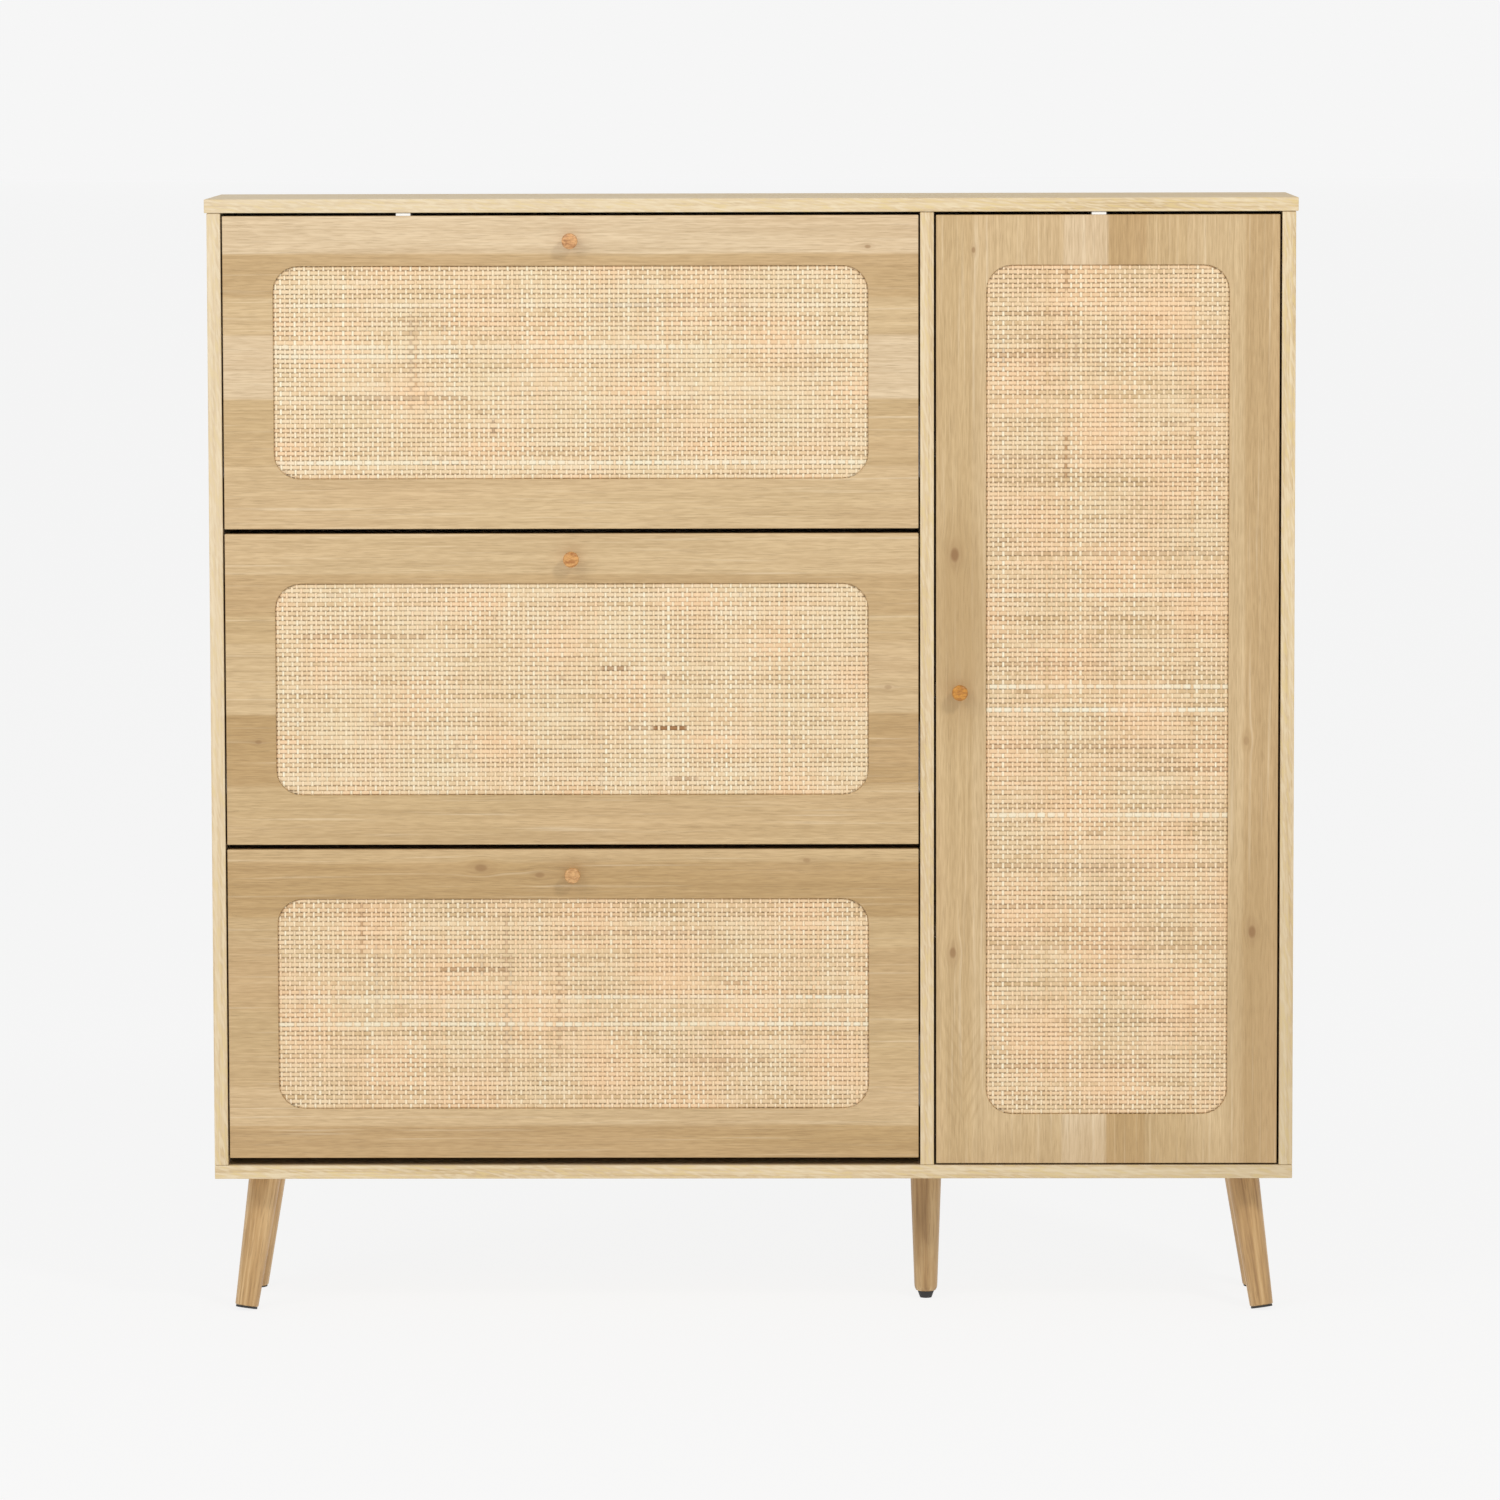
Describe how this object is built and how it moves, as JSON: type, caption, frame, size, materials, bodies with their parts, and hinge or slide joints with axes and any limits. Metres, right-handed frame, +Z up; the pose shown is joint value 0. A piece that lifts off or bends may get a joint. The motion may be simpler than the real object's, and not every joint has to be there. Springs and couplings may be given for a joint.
{
  "type": "shoe cabinet",
  "caption": "Slim wooden shoe cabinet with woven cane fronts: tip-out shoe flaps beside a tall side-hung door, on splayed round legs with a straight middle leg.",
  "frame": {"origin": "on the floor, under the middle of the cabinet's overall width and depth, knobs included", "axes": "+X to the right seen from the front, +Y towards the wall behind, +Z up; the fronts face -Y"},
  "size_m": [1.2, 0.26, 1.238],
  "materials": {
    "oak_veneer": "matt lacquered oak veneer and edging",
    "oak_front": "satin lacquered oak veneer fronts",
    "oak_leg": "turned oak, satin lacquer",
    "knob_wood": "turned wood, warm stain",
    "woven_cane": "plain woven cane, matt",
    "back_sheet": "thin board, printed face",
    "rack_board": "thin board, melamine face",
    "bracket_plastic": "moulded black plastic",
    "white_plastic": "moulded white plastic",
    "steel": "nickel plated steel",
    "black_rubber": "matt black rubber"
  },
  "bodies": {
    "carcass": {"top_panel": "oak_veneer", "bottom_panel": "oak_veneer", "left_side_panel": "oak_veneer", "right_side_panel": "oak_veneer", "centre_divider": "oak_veneer", "back_sheet": "back_sheet", "flap_rail_1": "oak_veneer", "flap_rail_2": "oak_veneer", "door_shelf_1": "oak_veneer", "door_shelf_2": "oak_veneer", "door_shelf_3": "oak_veneer", "flap_catch": "white_plastic", "door_catch": "white_plastic", "leg_front_left": "oak_leg", "pad_front_left": "black_rubber", "leg_front_right": "oak_leg", "pad_front_right": "black_rubber", "leg_rear_left": "oak_leg", "pad_rear_left": "black_rubber", "leg_rear_right": "oak_leg", "pad_rear_right": "black_rubber", "centre_leg": "oak_leg", "flap_1_pivot_left": "steel", "flap_1_pivot_right": "steel", "flap_2_pivot_left": "steel", "flap_2_pivot_right": "steel", "flap_3_pivot_left": "steel", "flap_3_pivot_right": "steel", "door_hinge_arm_1": "steel", "door_hinge_arm_2": "steel"},
    "flap_1": {"flap_1_frame": "oak_front", "flap_1_cane_panel": "woven_cane", "flap_1_knob": "knob_wood", "flap_1_bracket_left": "bracket_plastic", "flap_1_bracket_right": "bracket_plastic", "flap_1_rack_floor": "rack_board", "flap_1_rack_divider": "rack_board", "flap_1_rack_shelf": "rack_board"},
    "flap_2": {"flap_2_frame": "oak_front", "flap_2_cane_panel": "woven_cane", "flap_2_knob": "knob_wood", "flap_2_bracket_left": "bracket_plastic", "flap_2_bracket_right": "bracket_plastic", "flap_2_rack_floor": "rack_board", "flap_2_rack_divider": "rack_board", "flap_2_rack_shelf": "rack_board"},
    "flap_3": {"flap_3_frame": "oak_front", "flap_3_cane_panel": "woven_cane", "flap_3_knob": "knob_wood", "flap_3_bracket_left": "bracket_plastic", "flap_3_bracket_right": "bracket_plastic", "flap_3_rack_floor": "rack_board", "flap_3_rack_divider": "rack_board", "flap_3_rack_shelf": "rack_board"},
    "door": {"door_frame": "oak_front", "door_cane_panel": "woven_cane", "door_knob": "knob_wood", "door_hinge_cup_1": "steel", "door_hinge_cup_2": "steel"},
    "centre_glide": {"centre_glide": "black_rubber"}
  },
  "joints": [
    {"name": "flap_1_tilt", "type": "hinge", "parent": "carcass", "child": "flap_1", "pos_m": [-0.1985, -0.0865, 0.93538], "axis": [1, 0, 0], "range_deg": [0, 50]},
    {"name": "flap_2_tilt", "type": "hinge", "parent": "carcass", "child": "flap_2", "pos_m": [-0.1985, -0.0865, 0.58594], "axis": [1, 0, 0], "range_deg": [0, 50]},
    {"name": "flap_3_tilt", "type": "hinge", "parent": "carcass", "child": "flap_3", "pos_m": [-0.1985, -0.0865, 0.2365], "axis": [1, 0, 0], "range_deg": [0, 50]},
    {"name": "door_swing", "type": "hinge", "parent": "carcass", "child": "door", "pos_m": [0.58, -0.11, 0.69469], "axis": [0, 0, 1], "range_deg": [0, 100]},
    {"name": "glide_screw", "type": "slide", "parent": "carcass", "child": "centre_glide", "axis": [0, 0, -1], "range_m": [0, 0.01]}
  ]
}
